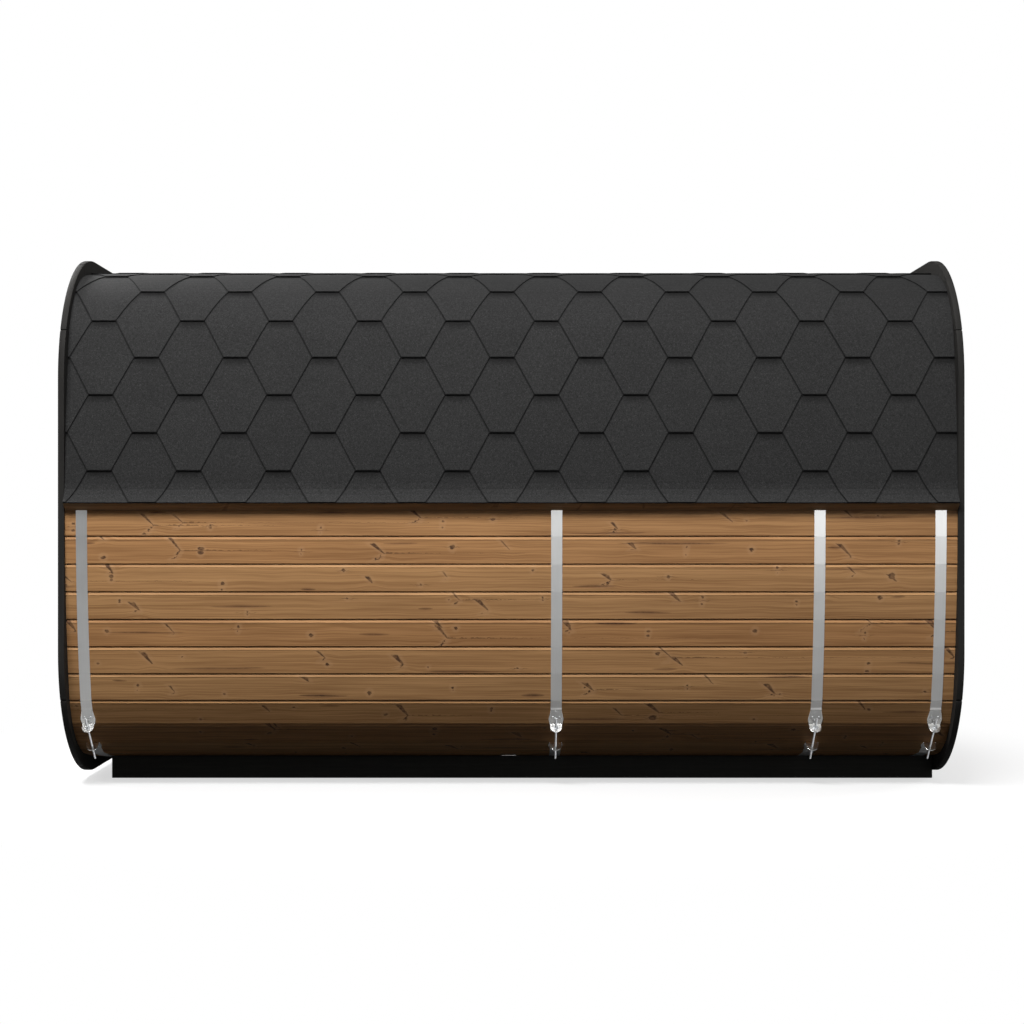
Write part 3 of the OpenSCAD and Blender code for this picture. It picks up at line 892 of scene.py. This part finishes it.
@dataclass
class Shell(SubAssembly):
    """The staves, each with a chamfer and an open joint to its neighbours."""

    thickness: float = 0.042
    bead: tuple[tuple[float, float], ...] = (
        (0.0003, 0.0046), (0.0042, 0.0028), (0.0108, -0.0007), (0.0140, 0.0))
    under_chamfer: float = 2.6 * MM
    gap: float = 2.0 * MM
    gap_depth: float = 12.0 * MM
    inner_chamfer: float = 3.0 * MM

    def stave(self, k: int) -> BMesh:
        """Makes the stave that follows edge k.

        Args:
            k: The number of its first edge.

        Returns:
            The stave.
        """
        upper, lower = (k, k + 1) if OUTLINE.edge(k).y >= OUTLINE.edge(k + 1).y else (k + 1, k)
        top, bottom = OUTLINE.edge(upper), OUTLINE.edge(lower)
        down = (bottom - top).normalized()
        half_gap, depth = down * self.gap / 2, self.thickness
        above, below = partial(OUTLINE.inner_edge, upper), partial(OUTLINE.inner_edge, lower)
        section = [
            above(self.gap_depth),
            above(self.gap_depth) + half_gap,
            *(above(deep) + half_gap + down * low for low, deep in self.bead),
            bottom - half_gap - down * self.under_chamfer,
            below(self.under_chamfer) - half_gap,
            below(self.gap_depth) - half_gap,
            below(self.gap_depth),
            below(depth - self.inner_chamfer),
            below(depth) - down * self.inner_chamfer,
            above(depth) + down * self.inner_chamfer,
            above(depth - self.inner_chamfer),
        ]
        bm = prism([in_space(STAVES_X[0], p) for p in section], X_WAY * (STAVES_X[1] - STAVES_X[0]))
        way = in_space(0.0, bottom) - in_space(0.0, top)
        board_map = BoardMap(X_WAY, way.normalized(), way.length)
        board_map.write(bm, bm.faces, k + OUTLINE.staves, in_space(0.0, top))
        return bm

    def build(self) -> None:
        """Makes the eight panels."""
        last = OUTLINE.last
        high_in, high_out, low_out, low_in = (
            round(s / OUTLINE.pitch - 0.5)
            for s in (
                OUTLINE.bow_l,
                OUTLINE.quarter - OUTLINE.bow_l,
                OUTLINE.quarter + OUTLINE.bow_l,
                2 * OUTLINE.quarter - OUTLINE.bow_l,
            )
        )
        panels = {
            "ceiling": range(-1 - high_in, high_in),
            "floor": range(low_in, 2 * last - low_in),
            "side_near": range(high_out, low_out),
            "corner_low_near": range(low_out, low_in),
            "corner_high_near": range(high_in, high_out),
        }
        for name, near in list(panels.items()):
            if name.endswith("_near"):
                panels[name.replace("_near", "_far")] = [-2 - k for k in near]
        for name, numbers in panels.items():
            bm = join([self.stave(k) for k in numbers])
            self.keep(f"staves_{name}", bm, STAVE_WOOD, Slot.STAVES, [f"shell_{name}"])


@dataclass
class Rings(SubAssembly):
    """The boards that clad the two ends of the staves."""

    easing: float = 2.0 * MM

    def build(self) -> None:
        """Eases the edges of all the ring boards."""
        grain = {"sides": "upright", "top": "level", "bottom": "level", "corners": "corner"}
        for end in ("front", "rear"):
            for part, way in grain.items():
                node = f"{end}_ring_{part}"
                self.soften(node, f"{node}_boards", self.easing, RING_STAIN[way], Slot.RINGS)


@dataclass(frozen=True)
class Slope:
    """The line that the shingles follow, from the drip edge up to the ridge."""

    eave_z: float = 0.046
    eave_rise: float = 0.074
    eave_out: float = 1.079
    skin: float = 0.010
    eave_steps: int = 14
    step: float = 0.010

    def line(self) -> list[Vector]:
        """The points of the near slope as (y, z)."""
        def side_at(z: float) -> float:
            """How far out the bowed side is at a height."""
            return OUTLINE.half - OUTLINE.bow_r + math.sqrt(OUTLINE.bow_r ** 2 - z * z)

        throw = self.eave_out - self.skin - side_at(self.eave_z)
        points = []
        for k in range(self.eave_steps):
            u = 1 - k / self.eave_steps
            z = self.eave_z + self.eave_rise * (1 - u)
            points.append(Vector((-side_at(z) - throw * u * u, z)))
        joined = math.asin((self.eave_z + self.eave_rise) / OUTLINE.bow_r)
        first = OUTLINE.quarter - OUTLINE.bow_r * joined
        count = round(first / self.step)
        points += [OUTLINE.at(first * (1 - k / count))[0] for k in range(count + 1)]
        return points


class Track:
    """A line that can be followed by its length."""

    def __init__(self, points: Sequence[Vector]) -> None:
        """Measures the line.

        Args:
            points: Its points as (y, z).
        """
        self.points = list(points)
        self.marks = [0.0]
        for a, b in zip(self.points, self.points[1:]):
            self.marks.append(self.marks[-1] + (b - a).length)

    @property
    def length(self) -> float:
        """The length of the whole line."""
        return self.marks[-1]

    def _out(self, k: int) -> Vector:
        """The way out at point k."""
        a, b = self.points[max(k - 1, 0)], self.points[min(k + 1, len(self.points) - 1)]
        along = (b - a).normalized()
        return Vector((-along.y, along.x))

    def at(self, q: float, lift: float) -> Vector:
        """A point at a distance along the line, lifted off it.

        Args:
            q: The distance from the line's start.
            lift: How far out it lies.

        Returns:
            The point as (y, z).
        """
        k = next((i for i in range(1, len(self.marks) - 1) if self.marks[i] > q), len(self.marks) - 1)
        share = (q - self.marks[k - 1]) / (self.marks[k] - self.marks[k - 1])
        spot = self.points[k - 1].lerp(self.points[k], share)
        return spot + lift * self._out(k - 1).lerp(self._out(k), share).normalized()


@dataclass
class Roofing(SubAssembly):
    """Courses of six-sided felt shingles, each lapped over the two below it."""

    sheet: float = 2.6 * MM
    lift: float = 7.2 * MM
    cover: float = 0.346
    notch: float = 0.151
    overhang: float = 0.0105
    tab_x: float = -1.420
    fold: float = 0.0245
    cap_half: float = 0.125
    cap_show: float = 0.1438
    cap_lap: float = 1.9
    cap_lift: float = 8.6 * MM
    cap_folds: int = 5
    cap_map_up: float = 0.08
    end_gap: float = 0.5 * MM
    row_base: int = 8
    cap_base: int = 40
    tab_base: int = 40

    def __post_init__(self) -> None:
        """Lays out the slope."""
        self.track = Track(Slope().line())
        self.ends = (STAVES_X[0] + self.end_gap, STAVES_X[1] - self.end_gap)

    def _flat(self, row: int, tabs: bool, centre: float) -> BMesh:
        """A course laid out flat, as (along the building, up the slope, nought).

        Args:
            row: The number of the course.
            tabs: Whether it is cut to tabs.
            centre: The middle of one of its tabs, along the building.

        Returns:
            One layer of faces.
        """
        half, tip = FELT.tab / 2, FELT.tip / 2
        neck = tip + FELT.spread * self.notch
        bottom = FELT.course * row - self.overhang
        bm = bmesh.new()
        corners = [(x, self.notch) for x in (half, neck, -neck, -half)]
        shapes = [
            [*reversed(corners), (half, self.cover), (-half, self.cover)],
            [(-tip, 0), (tip, 0), *corners[1:3]] if tabs else [(-half, 0), (half, 0), *corners],
        ]
        for shape in shapes:
            bm.faces.new([bm.verts.new((x, y + bottom, 0)) for x, y in shape])
        first = math.floor((self.ends[0] - centre) / FELT.tab)
        cell = [*bm.faces, *bm.edges, *bm.verts]
        bmesh.ops.translate(bm, vec=(centre + first * FELT.tab, 0, 0), verts=bm.verts)
        count = math.ceil((self.ends[1] - self.ends[0]) / FELT.tab) + 1
        for k in range(1, count + 1):
            copy = bmesh.ops.duplicate(bm, geom=cell)["geom"]
            shift(bm, copy, (k * FELT.tab, 0, 0))
        bmesh.ops.remove_doubles(bm, verts=bm.verts, dist=0.1 * MM)
        return bm

    @staticmethod
    def _cut(bm: BMesh, axis: int, place: float, drop: int = 0) -> None:
        """Cuts the flat course across one axis, and drops what is below (-1) or above (1) the cut."""
        way = Vector([float(k == axis) for k in range(3)])
        bmesh.ops.bisect_plane(
            bm, geom=[*bm.verts, *bm.edges, *bm.faces], dist=0.001 * MM,
            plane_co=way * place, plane_no=way, clear_inner=drop < 0, clear_outer=drop > 0)

    def _thicken(self, bm: BMesh) -> None:
        """Gives a flat course its thickness."""
        grown = bmesh.ops.extrude_face_region(bm, geom=list(bm.faces), use_keep_orig=True)["geom"]
        shift(bm, grown, (0, 0, self.sheet))

    def course(self, row: int, side: float) -> BMesh:
        """Makes one course in place.

        Args:
            row: The number of the course; those below nought are plain starter strips.
            side: -1 for the near slope and 1 for the far one.

        Returns:
            The course.
        """
        centre = self.tab_x + (FELT.tab / 2 if row % 2 else 0.0)
        bottom = FELT.course * row - self.overhang
        bm = self._flat(row, row >= 0, centre)
        for axis, low, high in ((0, *self.ends), (1, 0.0, self.track.length)):
            self._cut(bm, axis, low, -1)
            self._cut(bm, axis, high, 1)
        for k in range(1, int(self.cover / self.fold)):
            self._cut(bm, 1, bottom + k * self.fold)
        self._thicken(bm)
        layer = bm.loops.layers.uv.new("courses")
        for face in bm.faces:
            for loop in face.loops:
                x, q, _ = loop.vert.co
                loop[layer].uv = (x - centre + (self.tab_base + 0.5) * FELT.tab,
                                  (row + self.row_base) * FELT.row_step + q - bottom)
        for vert in bm.verts:
            x, q, height = vert.co
            share = min(max((q - bottom) / self.cover, 0.0), 1.0)
            spot = self.track.at(q, self.lift * (1 - share) + height)
            vert.co = in_space(x, Vector((-side * spot.x, spot.y)))
        bmesh.ops.recalc_face_normals(bm, faces=bm.faces)
        return bm

    def ridge(self) -> BMesh:
        """Makes the caps that are laid along the ridge, each over the end of the one before."""
        span = self.ends[1] - self.ends[0]
        count = round(span / self.cap_show)
        show = span / count
        caps = []
        for k in range(count):
            start = self.ends[0] + k * show
            length = min(self.cap_lap * show, self.ends[1] - start)
            bm = bmesh.new()
            corners = ((0, -1), (length, -1), (length, 1), (0, 1))
            bm.faces.new([bm.verts.new((start + x, y * self.cap_half, 0)) for x, y in corners])
            for cut in range(1 - self.cap_folds, self.cap_folds):
                self._cut(bm, 1, cut * self.cap_half / self.cap_folds)
            self._cut(bm, 0, start + show)
            self._thicken(bm)
            layer = bm.loops.layers.uv.new("courses")
            for face in bm.faces:
                for loop in face.loops:
                    loop[layer].uv = (loop.vert.co.x + self.tab_base * FELT.tab,
                                      (k + self.cap_base) * FELT.row_step + self.cap_map_up)
            for vert in bm.verts:
                x, y, height = vert.co
                lift = self.cap_lift + self.sheet * (1 - (x - start) / (self.cap_lap * show)) + height
                out = self.track.at(self.track.length - abs(y), lift)
                vert.co = in_space(x, Vector((math.copysign(out.x, y), out.y)))
            bmesh.ops.recalc_face_normals(bm, faces=bm.faces)
            caps.append(bm)
        return join(caps)

    def build(self) -> None:
        """Lays both slopes and the ridge."""
        rows = range(-2, int((self.track.length + self.overhang) / FELT.course))
        for name, side in (("near", -1.0), ("far", 1.0)):
            bm = join([self.course(row, side) for row in rows])
            self.keep(f"shingles_{name}", bm, ROOF_FELT, Slot.SHINGLES, [f"roofing_{name}"])
        self.keep("ridge_caps", self.ridge(), ROOF_FELT, Slot.SHINGLES)


@dataclass
class Eaves(SubAssembly):
    """The battens under the drip edges."""

    easing: float = 1.2 * MM
    width: float = 0.078
    spare: float = 1.4
    numbers: tuple[int, int] = (3, 8)

    def build(self) -> None:
        """Makes the battens."""
        bm = eased("eave_battens", self.easing)
        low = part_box("eave_battens")[0]
        board_map = BoardMap(X_WAY, Z_WAY, self.width * self.spare)
        for far, number in enumerate(self.numbers):
            faces = [f for f in bm.faces if (f.calc_center_median().y >= 0) == bool(far)]
            board_map.write(bm, faces, number, low)
        self.keep("eave_batten_pair", bm, BATTEN_WOOD, Slot.BATTENS, ["eave_battens"])


@dataclass
class Straps(SubAssembly):
    """The steel straps, and the tensioners that draw each of them together."""

    nodes: tuple[str, ...] = ("strap_rear", "strap_middle", "strap_wall", "strap_front")
    span: int = 24
    stand_off: float = 0.020
    bracket_t: float = 0.003
    over: float = 0.052
    under: float = 0.074
    rod_r: float = 4.0 * MM
    thread: float = 1.25 * MM
    thread_depth: float = 0.65 * MM
    tip_share: float = 0.8
    turns: int = 12
    easing: float = 0.5 * MM

    def _rod(self, length: float) -> BMesh:
        """A threaded rod that stands on the origin, along Z.

        Args:
            length: Its length.

        Returns:
            The rod.
        """
        core = self.rod_r - self.thread_depth
        count = int(length / self.thread) - 1
        start = (length - count * self.thread) / 2
        outline = [(0.0, 0.0), (core * self.tip_share, 0.0), (core, start)]
        for k in range(count):
            foot = start + k * self.thread
            outline += [(self.rod_r, foot + self.thread / 2), (core, foot + self.thread)]
        outline += [(core * self.tip_share, length), (0.0, length)]
        bm = bmesh.new()
        verts = [bm.verts.new((x, 0, z)) for x, z in outline]
        edges = [bm.edges.new(pair) for pair in zip(verts, verts[1:])]
        bmesh.ops.spin(bm, geom=verts + edges, cent=(0, 0, 0), axis=(0, 0, 1), angle=2 * math.pi,
                       steps=self.turns, use_merge=True, use_duplicate=False)
        bmesh.ops.remove_doubles(bm, verts=bm.verts, dist=0.01 * MM)
        bmesh.ops.recalc_face_normals(bm, faces=bm.faces)
        return bm

    def rods(self, side: float) -> BMesh:
        """The rods of one side, in place.

        Args:
            side: -1 for the near side and 1 for the far one.

        Returns:
            The rods.
        """
        top, foot = OUTLINE.edge(self.span), OUTLINE.edge(self.span + 1)
        up, out = (top - foot).normalized(), OUTLINE.face_out(self.span)
        length = (top - foot).length + 2 * self.bracket_t + self.over + self.under
        base = foot + out * self.stand_off - up * (self.bracket_t + self.under)
        z_way = Vector((0, up.x, up.y))
        y_way = z_way.cross(X_WAY)
        turn = Matrix(((1, 0, 0), (0, y_way.y, y_way.z), (0, z_way.y, z_way.z))).transposed().to_4x4()
        rods = []
        for node in self.nodes:
            low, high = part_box(node)
            bm = self._rod(length)
            stand = Matrix.Translation(in_space((low.x + high.x) / 2, base))
            bmesh.ops.transform(bm, matrix=stand @ turn, verts=bm.verts)
            if side > 0:
                bmesh.ops.scale(bm, vec=(1, -1, 1), verts=bm.verts)
                bmesh.ops.recalc_face_normals(bm, faces=bm.faces)
            rods.append(bm)
        return join(rods)

    def build(self) -> None:
        """Dresses the straps and makes the tensioners."""
        self.dress(self.nodes, STRAP_STEEL, Slot.STRAPS)
        for name, side in (("near", -1.0), ("far", 1.0)):
            self.soften(f"tension_brackets_{name}", f"bracket_plates_{name}", self.easing, PLATE_STEEL,
                        Slot.PLATES)
            self.keep(f"threaded_rods_{name}", self.rods(side), ZINC_STEEL, Slot.ZINC,
                      [f"tension_rods_{name}"])
            self.soften(f"tension_nuts_{name}", f"nuts_and_rivets_{name}", self.easing, ZINC_STEEL,
                        Slot.ZINC, segments=1)


@dataclass
class Base(SubAssembly):
    """The beams that the building stands on."""

    easing: float = 3.0 * MM

    def build(self) -> None:
        """Makes the beams and dresses the packing."""
        for side in ("near", "far"):
            node = f"base_beam_{side}"
            self.soften(node, f"{node}_timber", self.easing, BEAM_STAIN, Slot.BEAMS)
        self.dress(["packing_plates"], PLATE_STEEL, Slot.PLATES)


@dataclass
class Walls(SubAssembly):
    """The end walls, of upright boards with a V between them."""

    board: float = 0.108
    gap: float = 0.6 * MM
    groove: float = 5.0 * MM
    number: int = 100
    number_step: int = 30

    def build(self) -> None:
        """Cuts every wall into its boards."""
        board_map = BoardMap(Z_WAY, Y_WAY, self.board)
        nodes = ("rear_wall", "front_wall_near", "front_wall_far", "front_wall_top", "front_wall_base")
        for k, node in enumerate(nodes):
            number = self.number + self.number_step * k
            bm = slice_boards(node, board_map, self.gap, self.groove, number)
            self.keep(f"{node}_boards", bm, WALL_WOOD, Slot.WALLS, [node])


@dataclass
class Door(SubAssembly):
    """The glass door, its frame, hinges and grips."""

    easing: float = 1.5 * MM
    pane_easing: float = 1.0 * MM
    leaf_easing: float = 0.6 * MM
    grip_w: float = 0.030
    grip_number: int = 7

    def build(self) -> None:
        """Makes the door."""
        self.soften("door_frame", "door_frame_timber", self.easing, FRAME_STAIN, Slot.RINGS)
        self.soften("door_glass", "door_pane", self.pane_easing, CLEAR_GLASS, Slot.GLASS)
        self.soften("door_hinges", "hinge_leaves", self.leaf_easing, PLATE_STEEL, Slot.PLATES)
        bm = eased("door_grips", self.easing)
        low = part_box("door_grips")[0]
        BoardMap(Z_WAY, Y_WAY, self.grip_w).write(bm, bm.faces, self.grip_number, low)
        self.keep("grip_bars", bm, GRIP_WOOD, Slot.GRIPS, ["door_grips"])


@dataclass
class Decks(SubAssembly):
    """The boarded floors of the room and the porch, and their bearers."""

    board: float = 0.095
    gap: float = 5.0 * MM
    groove: float = 2.0 * MM
    number: int = 300
    number_step: int = 40
    bearer_number: int = 5

    def build(self) -> None:
        """Cuts the decks into boards and maps the bearers."""
        board_map = BoardMap(X_WAY, Y_WAY, self.board)
        for k, node in enumerate(("floor_deck", "porch_deck")):
            number = self.number + self.number_step * k
            bm = slice_boards(node, board_map, self.gap, self.groove, number)
            self.keep(f"{node}_boards", bm, DECK_WOOD, Slot.DECK, [node])
        bm = eased("deck_bearers", self.groove)
        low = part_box("deck_bearers")[0]
        BoardMap(Y_WAY, Z_WAY, self.board).write(bm, bm.faces, self.bearer_number, low)
        self.keep("bearer_timbers", bm, DECK_WOOD, Slot.DECK, ["deck_bearers"])


@dataclass(frozen=True)
class Lamp:
    """A soft rectangular lamp that faces a point, and may leave out dull surfaces or reflections."""

    name: str
    place: tuple[float, float, float]
    aim: tuple[float, float, float]
    size: tuple[float, float]
    power: float
    lights: bool = True
    shines: bool = True

    def light(self) -> None:
        """Puts the lamp in the scene."""
        data = bpy.data.lights.new(self.name, "AREA")
        data.shape = "RECTANGLE"
        data.size, data.size_y = self.size
        data.energy = self.power
        lamp = placed(self.name, data)
        lamp.location = self.place
        lamp.visible_diffuse, lamp.visible_glossy = self.lights, self.shines
        way = Vector(self.aim) - Vector(self.place)
        lamp.rotation_euler = way.to_track_quat("-Z", "Y").to_euler()


@dataclass(frozen=True)
class Studio:
    """The pale floor, the white backdrop, the lamps and the camera."""

    camera: tuple[float, float, float] = (0.003, -7.996, 1.076)
    lens: float = 63.28
    sensor: float = 36.0
    shift: float = 0.0034
    clip: tuple[float, float] = (0.1, 200.0)
    floor_half: float = 40.0
    floor_dull: Colour = (0.012, 0.012, 0.012)
    floor_shown: Colour = (0.9, 0.9, 0.9)
    sheen_floor: float = 0.07
    sheen_share: float = 0.3
    shadow: float = 0.36
    shadow_ends: tuple[float, float] = (1.75, 2.7)
    sky: float = 0.48
    sky_least: float = 0.002
    lamps: tuple[Lamp, ...] = (
        Lamp("key", (-1.7, -5.55, 7.7), (0.0, -0.9, 1.1), (4.5, 1.8), 900.0),
        Lamp("left_top", (-3.3, 0.4, 3.9), (-1.2, -0.8, 1.9), (1.2, 1.2), 125.0),
        Lamp("panel", (3.2, -8.5, 1.9), (0.6, 0.0, 1.1), (6.4, 2.2), 100.0, lights=False),
        Lamp("rear", (-2.0, 7.5, 5.0), (0.0, 0.0, 1.1), (4.0, 3.0), 200.0, shines=False),
        Lamp("front_end", (7.0, 0.8, 3.0), (1.7, 0.0, 1.1), (2.0, 2.0), 160.0, shines=False),
        Lamp("rear_end", (-7.0, 0.8, 3.0), (-1.7, 0.0, 1.1), (2.0, 2.0), 120.0, shines=False),
    )

    def _rays(self, r: Recipe) -> tuple[Wire, Wire]:
        """Which rays are the camera's own, and which see the backdrop in metal or through glass."""
        kinds = ("Camera", "Glossy", "Transmission")
        path = r.node("ShaderNodeLightPath")
        camera, glossy, through = (Wire(r, path.outputs[f"Is {kind} Ray"]) for kind in kinds)
        return camera.most(through), glossy

    def _floor(self) -> None:
        """Makes the floor."""
        bm = bmesh.new()
        bmesh.ops.create_grid(bm, x_segments=1, y_segments=1, size=self.floor_half)
        r = Recipe(bpy.data.materials.new("floor_paint"))
        camera, glossy = self._rays(r)
        x, y, _ = r.place()
        far = (x * x + y * y) ** 0.5
        shown = r.wire("ShaderNodeBsdfDiffuse", None, {"Color": self.floor_shown})
        glow = r.wire("ShaderNodeEmission", None, {"Color": WHITE, "Strength": 1.0})
        dull = r.wire("ShaderNodeBsdfDiffuse", None, {"Color": self.floor_dull})
        white = camera * (far.fade(*self.shadow_ends) * self.shadow + (1 - self.shadow))
        white = white + glossy * self.sheen_floor
        seen = camera.most(glossy * self.sheen_share)
        r.finish("Material", r.blend(seen, dull, r.blend(white, shown, glow)))
        floor = solid("floor", bm, r.owner)

    def _backdrop(self) -> None:
        """Makes the world: white where it is seen, and a soft sky that is brighter above for light."""
        r = Recipe(bpy.data.worlds.new("backdrop"))
        camera, glossy = self._rays(r)
        x, y, z = r.split(r.wire("ShaderNodeTexCoord", None, None, "Generated"))
        # The light of the sky; what steel reflects, which is darker towards -X and +Y; and white
        levels = (
            z.fade(0.05, 0.95) * self.sky + self.sky_least,
            (x.fade(-0.28, 0.08) * 0.75 + 0.25) * (y.fade(0.3, -0.3) * 0.8 + 0.2),
            1.0,
        )
        soft, sheen, white = (
            r.wire("ShaderNodeBackground", None, {"Color": WHITE, "Strength": level})
            for level in levels)
        r.finish("World", r.blend(camera, r.blend(glossy, soft, sheen), white))
        bpy.context.scene.world = r.owner

    def build(self) -> None:
        """Sets the stage."""
        data = bpy.data.cameras.new("camera")
        data.lens, data.sensor_width, data.shift_y = self.lens, self.sensor, self.shift
        data.clip_start, data.clip_end = self.clip
        camera = placed("camera", data)
        camera.location = self.camera
        camera.rotation_euler = (math.pi / 2, 0.0, 0.0)
        bpy.context.scene.camera = camera
        bpy.context.scene.view_settings.view_transform = "Standard"
        self._floor()
        self._backdrop()
        for lamp in self.lamps:
            lamp.light()
        log.info("studio: %d lamps", len(self.lamps))


def main() -> None:
    """Builds the whole scene."""
    logging.basicConfig(level=logging.INFO, format="%(name)s: %(message)s")
    Studio().build()
    for group in (Shell(), Rings(), Roofing(), Eaves(), Straps(), Base(), Walls(), Door(), Decks()):
        group.build()
        log.info("%s: %d pieces", type(group).__name__, len(group.made))


if __name__ == "__main__":
    main()
